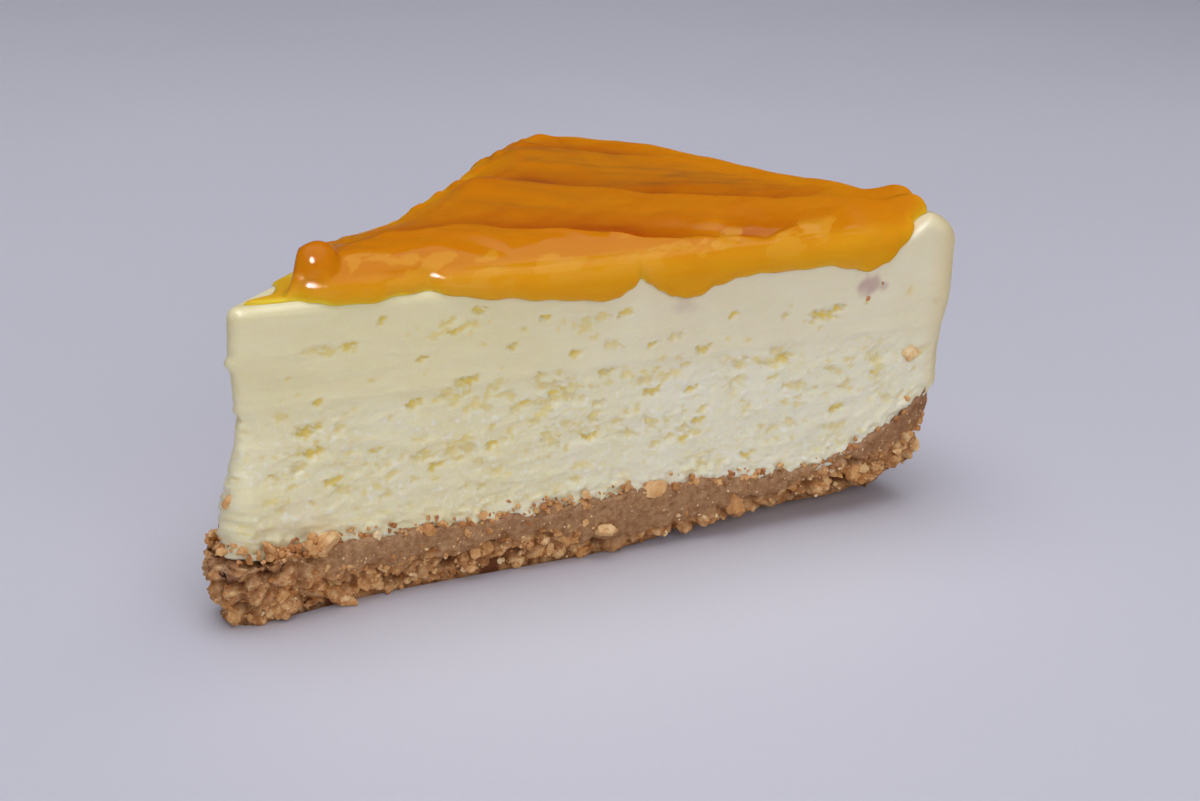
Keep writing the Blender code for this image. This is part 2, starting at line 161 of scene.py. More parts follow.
# The camera, fitted to the photo: where it is in the cut frame, where it looks, and its lens
CAMERA_AT = (-51.51, -195.66, 99.09)
CAMERA_YAW = math.radians(27.21)
CAMERA_PITCH = math.radians(19.338)
CAMERA_ROLL = math.radians(1.767)
CAMERA_LENS = 55.5
SENSOR_WIDTH = 36.0

# Crumbs bedded in the base: piece, how many, smallest and largest size, first and last ring of the base's
# skin, how finely each is made, darkest and lightest tone, seed
CRUMB_KINDS = (
    ("base_crumbs_large", 230, (0.7, 1.4), (30, 50), 3, (0.35, 0.85), 31),
    ("base_crumbs_middle", 1250, (0.28, 0.65), (27, 60), 2, (0.2, 0.95), 33),
    ("base_crumbs_fine", 2200, (0.1, 0.24), (27, 72), 2, (0.4, 1.1), 35),
)
CRUMB_SHAPES = 14
FLAT_FACES_PER_CRUMB = 5
BEDDED_SEED = 5
# Stray crumbs placed one by one: place, size, tone
PLACED_CRUMBS = (
    ((57.2, -0.3, 8.9), 1.5, 0.72), ((12.6, -1.4, 9.2), 1.7, 0.75), ((1.3, 0.4, 15.5), 1.1, 0.6),
    ((96.9, 0.6, 22.6), 1.3, 0.88), ((88.9, 0.15, 31.2), 0.4, 0.45), ((91.1, 0.15, 33.0), 0.35, 0.45),
    ((19.0, -0.9, 8.8), 0.8, 1.1), ((33.0, -0.5, 8.9), 0.6, 0.7),
)
FOOT_CRUMBS = 300
TIP_CRUMBS = 150
TIP_REACH = 11.0
STRAY_SEED = 9

# How finely the skins are made: stations round the plan, and rings on each part of a skin
BASE_STATIONS = 960
SKIN_STATIONS = 700
BASE_UNDER_RINGS = 30
BASE_SIDE_RINGS = 34
HIDDEN_RINGS = 4
FILLING_SIDE_RINGS = 116
FILLING_TOP_RINGS = 10
LIP_RINGS = 20
TOPPING_RINGS = 92

# Colours, as red, green and blue in linear light. The plural ones are ramps, with a position for each.
CRUST_COLOURS = ((0.36, (0.36, 0.135, 0.04)), (0.5, (0.63, 0.31, 0.12)), (0.64, (0.88, 0.57, 0.28)))
PASTE_COLOURS = ((0.3, (0.32, 0.145, 0.062)), (0.5, (0.41, 0.215, 0.098)), (0.7, (0.48, 0.275, 0.135)))
RIM_PASTE_COLOUR = (0.27, 0.115, 0.05)
SPECK_COLOUR = (0.74, 0.52, 0.32)
# The colour of the small dark spots of painted shade on the base, as in tiny pits
PIT_SHADE_COLOUR = (0.20, 0.08, 0.03)
# The dark colour of the painted shade in the base's cracks and holes
CREVICE_SHADE_COLOUR = (0.17, 0.055, 0.018)
CRUMB_COLOURS = (
    (0.0, (0.32, 0.115, 0.035)), (0.35, (0.54, 0.23, 0.07)), (0.65, (0.71, 0.385, 0.15)),
    (0.9, (0.86, 0.58, 0.29)), (1.0, (0.90, 0.70, 0.44)),
)
LOWER_TIP_COLOURS = ((0.3, (0.85, 0.765, 0.47)), (0.7, (0.88, 0.81, 0.565)))
LOWER_PALE_COLOURS = ((0.3, (0.86, 0.80, 0.575)), (0.7, (0.885, 0.835, 0.66)))
UPPER_TIP_COLOURS = ((0.3, (0.83, 0.74, 0.44)), (0.7, (0.86, 0.78, 0.50)))
UPPER_PALE_COLOURS = ((0.3, (0.84, 0.755, 0.53)), (0.7, (0.87, 0.795, 0.58)))
YOLK_COLOUR = (0.86, 0.75, 0.38)
# The near-white colour of the small flecks of painted highlight on the filling
FLECK_HIGHLIGHT_COLOUR = (0.94, 0.91, 0.80)
STREAK_COLOUR = (0.90, 0.87, 0.72)
PORE_COLOUR = (0.84, 0.64, 0.12)
FILLING_RIM_COLOUR = (0.76, 0.615, 0.33)
STAIN_COLOUR = (0.56, 0.37, 0.33)
MANGO_COLOURS = (
    (0.0, (0.88, 0.62, 0.05)), (0.06, (0.82, 0.45, 0.018)), (0.17, (0.785, 0.355, 0.011)),
    (0.38, (0.69, 0.235, 0.004)), (1.0, (0.63, 0.18, 0.003)),
)
# The dark colour of the painted shade in the topping's creases
CREASE_SHADE_COLOUR = (0.44, 0.078, 0.002)
# The pale colour of the patches of painted reflection on the topping's near lip
REFLECTION_PATCH_COLOUR = (0.79, 0.37, 0.03)
FLOOR_COLOURS = ((0.3, (0.60, 0.595, 0.70)), (0.7, (0.63, 0.625, 0.73)))

# The studio, in metres and watts. Softboxes: name, place, size, power, colour.
FLOOR_HALF = 3.0
LIGHTS_AIM = (0.0, 0.0, 0.02)
SOFTBOXES = (
    ("overhead_softbox", (0.05, 0.05, 0.9), (0.95, 0.95), 5.5, (1.0, 0.99, 0.98)),
    ("front_softbox", (-0.55, -0.95, 0.5), (1.2, 0.8), 4.9, (1.0, 0.99, 0.97)),
)
# The square frame of light that makes the small glints: its middle, and its bars
GLINT_FRAME_AT = (-0.26, -0.19, 0.76)
BAR_LONG = 0.15
BAR_THIN = 0.02
BAR_POWER = 4.0
# The room: dark below and behind, pale towards this way, with the ramp's ends as position and colour
ROOM_PALE_WAY = (-0.35, -0.35, 0.87)
ROOM_DARK = (0.4, (0.03, 0.03, 0.035, 1.0))
ROOM_PALE = (0.62, (0.30, 0.31, 0.33, 1.0))

# The sockets of the mix node that take and give colours
MIX_SHARE = 0
MIX_FIRST = 6
MIX_SECOND = 7
MIX_RESULT = 2


# Curves, noise and the plan, shared by all the skins

def smooth(start, end, x):
    """0 before start, 1 after end, and an easy curve between them."""
    t = np.clip((x - start) / (end - start), 0.0, 1.0)
    return t * t * (3.0 - 2.0 * t)


def through(points, x):
    """An easy curve through the given (x, y) points, level beyond its ends."""
    xs, ys = np.array(points).T
    k = np.clip(np.searchsorted(xs, x) - 1, 0, len(xs) - 2)
    return ys[k] + (ys[k + 1] - ys[k]) * smooth(xs[k], xs[k + 1], x)


def rough(points, size, seed=0.0, stretch=(1.0, 1.0, 1.0)):
    """Soft noise from -1 to 1 with lumps of about that size, stretched along each axis."""
    scaled = points.reshape(-1, 3) / (size * np.array(stretch)) + np.array((seed, -seed, 0.5 * seed))
    values = np.array([noise.noise(p) for p in scaled.tolist()])
    return values.reshape(points.shape[:-1])


def lumps(points, size, seed=0.0):
    """Rounded crumbs packed together: 1 on the crown of each crumb, 0 in the cracks between them."""
    scaled = points.reshape(-1, 3) / size + seed
    near = np.array([noise.voronoi(p)[0][:2] for p in scaled.tolist()])
    crowns = np.minimum(1.0, (near[:, 1] - near[:, 0]) * 1.6)
    return np.sqrt(crowns).reshape(points.shape[:-1])


def hill(x, y, at, spread):
    """A soft hill of height 1 at that place, with its spread along each way."""
    return np.exp(-(((x - at[0]) / spread[0]) ** 2) - ((y - at[1]) / spread[1]) ** 2)


def radius_of(u, v):
    """Distance from the cake's centre."""
    return np.hypot(u, v)


def from_far_cut(u, v):
    """Distance into the slice from the far cut."""
    return u * math.sin(CUT_ANGLE) - v * math.cos(CUT_ANGLE)


def outline(stations):
    """Points and outward normals round the slice's plan, evenly spaced, starting at the middle of its tip."""
    half = CUT_ANGLE / 2
    right = math.pi / 2
    tip_at = TIP_ROUND / math.tan(half)
    inner = CAKE_RADIUS - CORNER_ROUND
    turn = math.asin(CORNER_ROUND / inner)
    along = inner * math.cos(turn)
    far_way = np.array((math.cos(CUT_ANGLE), math.sin(CUT_ANGLE)))
    far_corner = inner * np.array((math.cos(CUT_ANGLE - turn), math.sin(CUT_ANGLE - turn)))
    tip = np.array((tip_at, TIP_ROUND))

    def arc(centre, radius, start, end):
        def at(t):
            angle = start + (end - start) * t
            normal = np.array((math.cos(angle), math.sin(angle)))
            return centre + radius * normal, normal

        return radius * (end - start), at

    def line(start, end, normal):
        return np.linalg.norm(end - start), lambda t: (start + (end - start) * t, normal)

    parts = (
        arc(tip, TIP_ROUND, half + math.pi, 3 * right),
        line(np.array((tip_at, 0.0)), np.array((along, 0.0)), np.array((0.0, -1.0))),
        arc(np.array((along, CORNER_ROUND)), CORNER_ROUND, -right, turn),
        arc(np.zeros(2), CAKE_RADIUS, turn, CUT_ANGLE - turn),
        arc(far_corner, CORNER_ROUND, CUT_ANGLE - turn, CUT_ANGLE + right),
        line(along * far_way, tip_at * far_way, np.array((-far_way[1], far_way[0]))),
        arc(tip, TIP_ROUND, CUT_ANGLE + right, half + math.pi),
    )
    ends = np.cumsum([part[0] for part in parts])
    points, normals = [], []
    for s in (np.arange(stations) + 0.5) / stations * ends[-1]:
        k = int(np.searchsorted(ends, s))
        point, normal = parts[k][1]((s - ends[k] + parts[k][0]) / parts[k][0])
        points.append(point)
        normals.append(normal)
    return np.array(points), np.array(normals)


class Plan:
    """The outline's stations, and what depends only on where a station is."""

    def __init__(self, stations):
        self.at, self.out = outline(stations)
        self.radius = radius_of(*self.at.T)
        self.angle = np.degrees(np.arctan2(self.at[:, 1], self.at[:, 0]))
        self.rim = smooth(CAKE_RADIUS - 6.0, CAKE_RADIUS - 0.3, self.radius)
        self.near = self.angle < math.degrees(CUT_ANGLE) / 2
        self.edge_round = CUT_EDGE_ROUND + (RIM_EDGE_ROUND - CUT_EDGE_ROUND) * self.rim
        self.edge_out = self.edge_round + RIM_BULGE * self.rim
        self.shoulder = self.at - self.out * self.edge_round[:, None]
        self.shoulder_height = filling_top(*self.shoulder.T)
        middle_way = np.array((math.cos(CUT_ANGLE / 2), math.sin(CUT_ANGLE / 2)))
        along = np.clip(self.at @ middle_way, 5.0, 0.66 * CAKE_RADIUS)
        self.middle = along[:, None] * middle_way


def base_top(u, v):
    """Height of the face between base and filling: it climbs towards the rim and a little at the tip."""
    r = radius_of(u, v)
    climb = 9.2 * np.clip((r - 79.0) / 22.0, 0.0, None) ** 2
    return BASE_HEIGHT + climb + 1.6 * np.exp(-((r / 4.5) ** 2)) + 0.35 * np.sin(u / 7.0) * np.cos(v / 9.0)


def base_underside(u, v):
    """Height of the base's underside: flat, rounded up at the rim, and broken away under the near cut."""
    r = radius_of(u, v)
    x = np.clip(r - (CAKE_RADIUS + 0.7 - BASE_CORNER_ROUND), 0.0, 0.97 * BASE_CORNER_ROUND)
    corner = BASE_CORNER_ROUND - np.sqrt(BASE_CORNER_ROUND**2 - x**2)
    broken = 4.0 * smooth(46.0, 92.0, u) * (1.0 - smooth(-1.0, 8.0, v))
    return corner + broken


def filling_top(u, v):
    """Height of the filling's top: it sinks a little along the far cut and stands up at the rim."""
    r = radius_of(u, v)
    sunk = 0.8 * np.exp(-((from_far_cut(u, v) / 7.0) ** 2) - ((r - 54.0) / 17.0) ** 2)
    corner = 1.0 - smooth(3.5, 8.0, np.degrees(np.arctan2(v, u)))
    rim = (RIM_RISE + CORNER_RISE * corner) * smooth(CAKE_RADIUS - 10.0, CAKE_RADIUS - 4.2, r)
    return CAKE_HEIGHT + 0.2 * np.sin(u / 13.0 + 1.0) * np.cos(v / 11.0) - sunk + rim


def filling_offset(plan, z):
    """How far the filling stands out of the plan outline at height z, station by station."""
    tip = np.exp(-((plan.radius / 8.0) ** 2))
    waist = smooth(20.0, 24.0, z) * (1.0 - smooth(28.0, 33.0, z))
    flare = tip * (2.0 * (1.0 - smooth(14.0, 22.0, z)) - 0.6 * waist)
    bulge = plan.rim * (RIM_BULGE * smooth(25.0, 31.0, z) - 0.5 * (1.0 - smooth(21.0, 29.0, z)))
    return flare + bulge


def fan(plan, start, shares, height):
    """Rings from the middle line out to the start points, at the given shares of the way."""
    rings = []
    for share in shares:
        flat = plan.middle + (start - plan.middle) * share
        rings.append(np.column_stack((flat, height(*flat.T))))
    return rings


def shares_to_edge(count, power=0.8):
    """Shares of the way from the middle, closer together towards the edge."""
    return np.linspace(0.0, 1.0, count) ** power


def outward(rings):
    """Unit vectors out of the skin at every point of its rings."""
    across = np.roll(rings, -1, axis=1) - np.roll(rings, 1, axis=1)
    up = np.gradient(rings, axis=0)
    normals = np.cross(across, up)
    return normals / np.maximum(np.linalg.norm(normals, axis=2, keepdims=True), 1e-9)


def part_frame(points):
    """From the cut frame in millimetres to the part frame in metres."""
    c, s = math.cos(-CUT_ANGLE / 2), math.sin(-CUT_ANGLE / 2)
    u, v, z = points[..., 0], points[..., 1], points[..., 2]
    return np.stack((c * u - s * v - CENTRE_X, s * u + c * v - CENTRE_Y, z), axis=-1) * MM


def make_object(name, points, faces, layers, material, flat=False):
    """A mesh object from points in the cut frame, with one named value per point in each layer."""
    mesh = bpy.data.meshes.new(name)
    mesh.from_pydata(part_frame(points).tolist(), [], faces)
    for layer, values in layers.items():
        mesh.attributes.new(layer, "FLOAT", "POINT").data.foreach_set("value", values.ravel())
    if not flat:
        mesh.shade_smooth()
    mesh.materials.append(material)
    obj = bpy.data.objects.new(name, mesh)
    bpy.context.scene.collection.objects.link(obj)
    return obj


def wrap(name, rings, layers, material):
    """A closed skin over the rings. The first and last ring lie on a line, where their points are merged."""
    count, stations = rings.shape[:2]
    ring, station = np.meshgrid(np.arange(count - 1), np.arange(stations), indexing="ij")
    after = (station + 1) % stations
    faces = np.stack((ring * stations + station, ring * stations + after,
                      (ring + 1) * stations + after, (ring + 1) * stations + station), axis=-1)
    points = rings.reshape(-1, 3)
    flat_layers = {key: np.broadcast_to(value, rings.shape[:2]) for key, value in layers.items()}
    obj = make_object(name, points, faces.reshape(-1, 4).tolist(), flat_layers, material)
    shape = bmesh.new()
    shape.from_mesh(obj.data)
    bmesh.ops.remove_doubles(shape, verts=shape.verts, dist=0.004 * MM)
    bmesh.ops.dissolve_degenerate(shape, edges=shape.edges, dist=0.001 * MM)
    shape.to_mesh(obj.data)
    shape.free()
    return obj


# The biscuit base

def base_rings(plan):
    """The biscuit base's smooth skin, ring by ring from the middle of its underside to its hidden top."""
    wave = rough(np.column_stack((plan.at, np.zeros(len(plan.at)))), 2.4, 41.0)
    ragged = rough(np.column_stack((plan.at, np.zeros(len(plan.at)))), 0.9, 43.0)
    grow = (0.7 + 3.6 * np.exp(-((plan.radius / 14.0) ** 2))) * (1.0 - plan.rim) - 1.5 * plan.rim
    side = plan.at + plan.out * grow[:, None]
    undercut = 1.1 + 0.7 * np.exp(-((plan.radius / 14.0) ** 2))
    foot = side - plan.out * (BASE_EDGE_ROUND + undercut)[:, None]
    rings = fan(plan, foot, shares_to_edge(BASE_UNDER_RINGS, 0.5), base_underside)
    low = base_underside(*foot.T)
    high = base_top(*side.T) + 0.5 * wave + 0.35 * ragged
    for angle in np.radians((20.0, 40.0, 60.0, 80.0)):
        flat = foot + plan.out * BASE_EDGE_ROUND * math.sin(angle)
        rings.append(np.column_stack((flat, low + BASE_EDGE_ROUND * (1.0 - math.cos(angle)))))
    for share in np.linspace(0.0, 1.0, BASE_SIDE_RINGS):
        height = low + BASE_EDGE_ROUND + (high - 0.5 - low - BASE_EDGE_ROUND) * share
        flat = side - plan.out * (undercut * (1.0 - share) ** 2)[:, None]
        rings.append(np.column_stack((flat, height)))
    for inward, down in ((0.15, 0.15), (0.5, 0.0), (1.2, 0.1), (2.5, 0.6)):
        rings.append(np.column_stack((side - plan.out * inward, high - down)))
    top = fan(plan, side - plan.out * 5.0, shares_to_edge(HIDDEN_RINGS), lambda u, v: base_top(u, v) - 1.5)
    return np.array(rings + top[::-1])


def pressed_smooth(points):
    """Where the near cut shows butter-bound paste down to its foot."""
    u, v = points[..., 0], points[..., 1]
    return smooth(40.0, 52.0, u) * (1.0 - smooth(76.0, 84.0, u)) * (1.0 - smooth(2.0, 5.0, v))


def crumble(rings):
    """The base's skin with its crags, how much paste there is at each point, and how much painted shade it
    gets in the cracks and holes.
    """
    normals = outward(rings)
    above = rings[..., 2] - base_underside(rings[..., 0], rings[..., 1])
    edge = 0.9 * rough(rings, 5.0, 61.0)
    torn = 1.2 * rough(rings, 1.6, 63.0)
    paste = smooth(3.0, 5.6, above + edge + torn + 2.6 * pressed_smooth(rings))
    paste *= smooth(7.0, 15.0, radius_of(rings[..., 0], rings[..., 1]))
    big = lumps(rings, 3.1)
    small = lumps(rings, 1.25, 7.0)
    hole = smooth(0.22, 0.42, rough(rings, 3.0, 13.0, (1.6, 1.6, 0.8)))
    hole_small = smooth(0.25, 0.45, rough(rings, 1.1, 17.0))
    grain = rough(rings, 0.55, 19.0)
    crumbs = 1.9 * (big - 0.85) + 0.6 * (small - 0.7) - 1.4 * hole - 0.35 * hole_small + 0.2 * grain
    pressed = 0.3 * rough(rings, 4.0, 23.0) + 0.22 * rough(rings, 1.3, 27.0) - 0.4 * hole_small
    pressed += 0.12 * grain
    relief = crumbs * (1.0 - paste) + pressed * paste
    lifted = smooth(0.05, 2.0, rings[..., 2])
    lifted[BASE_UNDER_RINGS:] = 1.0
    lifted[-HIDDEN_RINGS:] = 0.0
    relief = relief * lifted
    moved = rings + normals * relief[..., None]
    moved[..., 2] = np.maximum(moved[..., 2], 0.0)
    # Painted shade in the cracks between crumbs and in the holes, less where paste fills them
    crevice_shade = np.clip(0.75 - big + 0.7 * hole + 0.3 * hole_small, 0.0, 1.0) * (1.0 - 0.85 * paste)
    return moved, paste, crevice_shade


# The cheese filling

def pores(plan, heights):
    """Depth of the pores in the filling's sides, ring by ring, and how far into a pore each point is."""
    draw = np.random.default_rng(PORE_SEED)
    stations = len(plan.at)
    step = np.linalg.norm(plan.at[1:] - plan.at[:-1], axis=1).mean()
    start = int(np.argmax(plan.at[:, 1] == 0.0))
    spots = []
    for u, z, wide, tall, count in PORE_CLUSTERS:
        for _ in range(count):
            at = start + (u + draw.normal(0.0, 0.5) * wide) / step
            spots.append((at, z + draw.normal(0.0, 0.5) * tall, 0.0))
    for _ in range(LOOSE_PORES):
        spots.append((draw.uniform(0, stations), 9.0 + 25.0 * draw.beta(1.5, 1.9), 0.0))
    for u, z, half in DEEP_PORES:
        spots.append((start + u / step, z, half))
        spots.append((start + (u + 1.2 * half) / step, z + 0.4 * half, 0.5 * half))
    depth = np.zeros((len(heights), stations))
    inside = np.zeros_like(depth)
    for k, (at, z, half) in enumerate(spots):
        wide = half if half else 0.25 + 1.3 * draw.beta(1.0, 3.0)
        tall = min(wide, draw.uniform(0.22, 0.5) + 0.2 * wide)
        deep = 0.3 + 0.3 * min(1.0, wide) if half else draw.uniform(0.12, 0.5) * min(1.0, wide / 0.7)
        yellow = 1.0 if half else 0.6
        tilt = draw.normal(0.0, 0.18)
        reach = int(wide * 2.2 / step) + 2
        columns = (np.arange(-reach, reach + 1) + int(round(at))) % stations
        offset = (np.arange(-reach, reach + 1) + int(round(at)) - at) * step
        dz = heights[:, columns] - z
        rows = np.nonzero(np.abs(dz).min(axis=1) < tall * 2.6)[0]
        if not len(rows):
            continue
        dz = dz[rows] - tilt * offset
        ragged = np.sin(offset * 5.1 + k) * 0.25 + np.sin(dz * 8.3 + offset * 4.7 + 2.1 * k) * 0.3
        away = np.hypot(offset / wide, dz / tall) + ragged
        shape = 1.0 - smooth(0.55, 1.12, away)
        window = np.ix_(rows, columns)
        depth[window] = np.maximum(depth[window], shape * deep)
        inside[window] = np.maximum(inside[window], shape * yellow)
    return depth, inside


def filling_rings(plan):
    """The filling's skin, and for each point how far it is into a pore, into the set top and into a stain."""
    foot_height = base_top(*plan.at.T) - 1.3
    foot = plan.at + plan.out * filling_offset(plan, foot_height)[:, None]
    hidden = shares_to_edge(HIDDEN_RINGS)
    rings = fan(plan, foot - plan.out * 3.0, hidden, lambda u, v: base_top(u, v) - 1.0)
    bottom = len(rings)
    top = plan.shoulder_height
    sides = []
    for share in np.linspace(0.0, 1.0, FILLING_SIDE_RINGS):
        height = foot_height + 0.2 + (top - plan.edge_round - foot_height - 0.2) * share
        flat = plan.at + plan.out * filling_offset(plan, height)[:, None]
        sides.append(np.column_stack((flat, height)))
    sides = np.array(sides)
    heights = sides[..., 2]
    depth, inside = pores(plan, heights)
    smear = SMEAR_HEIGHT + 0.5 * rough(sides[:1], 30.0, 71.0)
    curdy = 1.0 - smooth(-1.2, 0.4, heights - smear)
    faded = 1.0 - smooth(32.5, 35.5, heights)
    skin = 1.0 - 0.75 * plan.rim
    drag = rough(sides, 3.2, 21.0, (3.0, 3.0, 0.5))
    curd = rough(sides, 1.5, 33.0, (1.2, 1.2, 0.9))
    fine = rough(sides, 0.62, 35.0)
    torn = rough(sides, 2.2, 37.0, (1.5, 1.5, 0.8))
    ledges = smooth(0.0, 0.12, torn) - 0.5
    grains = lumps(sides, 1.5, 45.0) - 0.7
    cracked = smooth(0.05, 0.35, rough(sides, 6.0, 39.0))
    crack = (1.0 - smooth(0.0, 0.08, np.abs(curd + 0.25 * fine))) * cracked
    relief = 0.11 * drag + (0.13 * curd + 0.11 * fine + 0.10 * ledges + 0.10 * grains) * (0.4 + 0.6 * curdy)
    relief -= 0.2 * crack * (0.15 + 0.85 * curdy)
    broken = smooth(0.02, 0.4, rough(sides, 4.5, 95.0, (1.5, 1.5, 0.8))) * (0.3 + 0.7 * curdy)
    relief += broken * (0.35 * rough(sides, 0.9, 97.0) + 0.32 * (lumps(sides, 0.95, 99.0) - 0.75) - 0.1)
    fringe = 1.0 - smooth(0.8, 3.2, heights - base_top(sides[..., 0], sides[..., 1]))
    relief += fringe * (0.35 * fine + 0.3 * curd + 0.15)
    trace = 1.0 - 0.7 * smooth(50.0, 78.0, plan.radius)
    lip = np.exp(-((heights - smear - 0.3) / 0.5) ** 2) * (0.12 + 0.2 * rough(sides, 5.0, 73.0)) * trace
    step = 0.12 * smooth(-0.6, 0.2, heights - smear) * trace
    turned = np.hypot((plan.at[:, 0] - 1.6) / 1.1, (plan.at[:, 1] - 0.9) / 1.1)
    flake = np.exp(-(((heights - 32.0) / 0.7) ** 2)) * np.exp(-(turned**2))
    relief = (relief + lip + step) * faded * skin + 0.9 * flake - depth * skin
    sides[..., :2] += plan.out * relief[..., None]
    rings += list(sides)
    for angle in np.radians((12.0, 26.0, 40.0, 54.0, 68.0, 82.0)):
        flat = plan.shoulder + plan.out * (plan.edge_out * math.cos(angle))[:, None]
        rings.append(np.column_stack((flat, top - plan.edge_round * (1.0 - math.sin(angle)))))
    rings += fan(plan, plan.shoulder, shares_to_edge(FILLING_TOP_RINGS, 0.5), filling_top)[::-1]
    rings = np.array(rings)
    pore = np.zeros(rings.shape[:2])
    gaps = broken * smooth(0.5, 0.1, lumps(sides, 0.95, 99.0))
    pore[bottom:bottom + len(sides)] = np.maximum(inside, np.maximum(0.45 * crack * curdy, 0.6 * gaps)) * skin
    upper = np.ones(rings.shape[:2])
    upper[bottom:bottom + len(sides)] = smooth(-4.5, 1.5, heights - smear + 1.5 * torn)
    stain = np.zeros(rings.shape[:2])
    for u, z, wide, strength in STAINS:
        spot = np.hypot((rings[..., 0] - u) / wide, (rings[..., 2] - z) / (0.8 * wide))
        cloud = 0.6 * rough(sides, 1.3, 91.0)
        spot[bottom:bottom + len(sides)] += cloud
        stain = np.maximum(stain, strength * (1.0 - smooth(0.4, 1.5, spot)) * (rings[..., 1] < 1.0))
    return rings, pore, upper, stain


# The mango topping

def lip_reach(plan):
    """How far the topping runs out over the filling's edge from its flat top, station by station."""
    radius = plan.radius
    lip = np.where(plan.near, through(NEAR_LIP, radius), through(FAR_LIP, radius))
    drop = np.maximum(plan.shoulder_height - lip, 0.0)
    edge = plan.edge_round
    over = edge * np.arccos(np.clip(1.0 - drop / edge, 0.0, 1.0)) + np.maximum(drop - edge, 0.0)
    inset = edge - through(RIM_INSET, plan.angle)
    blend = smooth(CAKE_RADIUS - 10.8, CAKE_RADIUS - 4.6, radius)
    reach = over * (1.0 - blend) + inset * blend
    at = np.column_stack((plan.at, np.zeros(len(plan.at))))
    wobble = 0.25 * rough(at, 2.6, 51.0) + 0.5 * rough(at, 6.0, 53.0) * plan.rim
    reach = reach + wobble - 1.6 * np.exp(-((radius / 4.0) ** 2))
    bare = (1.0 - smooth(8.0, 15.0, radius)) * np.where(plan.near, 0.0, 1.0)
    spoke = np.linalg.norm(plan.shoulder - plan.middle, axis=1)
    return reach * (1.0 - bare) - 0.8 * spoke * bare


def crown_point(plan, s):
    """Points on the filling's top and over its edge, with normals; s is 0 at the middle line."""
    spoke = plan.shoulder - plan.middle
    length = np.linalg.norm(spoke, axis=1)
    flat = plan.middle + spoke * np.clip(s / length, 0.0, 1.0)[:, None]
    z = filling_top(*flat.T)
    over = np.clip(s - length, 0.0, None)
    angle = np.minimum(over / plan.edge_round, math.pi / 2)
    down = np.clip(over - plan.edge_round * math.pi / 2, 0.0, None)
    flat = flat + plan.out * (plan.edge_out * np.sin(angle))[:, None]
    z = z - plan.edge_round * (1.0 - np.cos(angle)) - down
    normals = np.column_stack((plan.out * np.sin(angle)[:, None], np.cos(angle)))
    return np.column_stack((flat, z)), normals


def strokes(u, v, along, across):
    """The spoon's folds, each a crest with a crease behind it, and how much painted shade each point gets
    from lying in a crease.
    """
    flat = np.stack((u, v, np.zeros_like(u)), axis=-1)
    wander = 0.8 * rough(flat, 9.0, 81.0) + 0.3 * rough(flat, 3.0, 83.0)
    total = np.zeros_like(u)
    crease_shade = np.zeros_like(u)
    for crease in CREASES:
        start, end = crease["ends"]
        fade = smooth(start, start + CREASE_FADES_IN, along)
        fade = fade * (1.0 - smooth(end - CREASE_FADES_OUT, end, along))
        x = across - through(crease["line"], along) + wander
        front = np.exp(np.minimum(x, 0.0) / crease["front"])
        back = np.exp(-np.maximum(x, 0.0) / crease["back"])
        behind = smooth(-CREASE_HALF_WIDTH, CREASE_HALF_WIDTH, x)
        total += crease["drop"] * fade * (0.5 * front * (1.0 - behind) - 0.5 * back * behind)
        crease_shade = np.maximum(crease_shade, min(crease["drop"] / DARK_DROP, 1.0) * fade * back * behind)
    return total, crease_shade


def topping_depth(u, v):
    """The topping's depth before its lip is rounded off, and how much painted shade each point gets from
    lying in a crease.
    """
    r = radius_of(u, v)
    near = np.maximum(v, 0.0)
    far = np.maximum(from_far_cut(u, v), 0.0)
    rim = np.maximum(CAKE_RADIUS - r - 3.6, 0.0)
    across = -u * math.sin(STROKE_ANGLE) + v * math.cos(STROKE_ANGLE)
    along = u * math.cos(STROKE_ANGLE) + v * math.sin(STROKE_ANGLE)

    def rise(distance, width, start, power):
        return 1.0 - (1.0 - start) * (1.0 - np.minimum(distance / width, 1.0)) ** power

    width = 5.0 + 4.5 * smooth(15.0, 45.0, r)
    slope = rise(near, width, 0.3 - 0.04 * smooth(58.0, 72.0, r), 1.7)
    slope *= rise(far, 10.0 - 4.0 * smooth(70.0, 82.0, r), through(FAR_EDGE_SHARE, r), 1.4)
    slope *= rise(rim, 7.0, through(RIM_SHARE, np.degrees(np.arctan2(v, u))), 1.6)
    flat = np.stack((u, v, np.zeros_like(u)), axis=-1)
    brushed = np.stack((along, across, np.zeros_like(u)), axis=-1)
    waves = 0.35 * rough(flat, 9.0, 3.0) + 0.2 * rough(flat, 4.0, 5.0)
    waves += 0.55 * rough(flat, 2.6, 93.0) * (1.0 - smooth(3.0, 9.0, far))
    waves += 0.16 * rough(flat, 2.4, 95.0, (1.6, 1.0, 1.0)) * (1.0 - smooth(8.0, 16.0, near))
    streaks = 0.12 * rough(brushed, 2.2, 87.0, (7.0, 1.0, 1.0))
    folds, crease_shade = strokes(u, v, along, across)
    body = (TOPPING_DEPTH + waves + streaks + folds) * slope
    edge_lumps = np.maximum(rough(flat, 2.8, 97.0), 0.0) * np.exp(-(((far - 2.4) / 2.2) ** 2))
    edge_lumps = edge_lumps * smooth(20.0, 28.0, r)
    tongue = TONGUE_HEIGHT * hill(along, across, TONGUE_AT, TONGUE_SPREAD)
    mound = MOUND_HEIGHT * hill(r, v, MOUND_AT, MOUND_SPREAD)
    wall = smooth(*SAUCE_TO_TOPPING, along)
    body += 1.3 * edge_lumps + tongue
    return THIN_SAUCE + (body + mound + knob(u, v) - THIN_SAUCE) * wall, crease_shade


def knob(u, v):
    """The round knob of mango at the end of the last stroke, near the tip."""
    away = np.hypot(u - KNOB_AT[0], (v - KNOB_AT[1]) / KNOB_STRETCH)
    return KNOB_HEIGHT * np.clip(1.0 - (away / KNOB_HALF) ** 2, 0.0, 1.0) ** 0.6


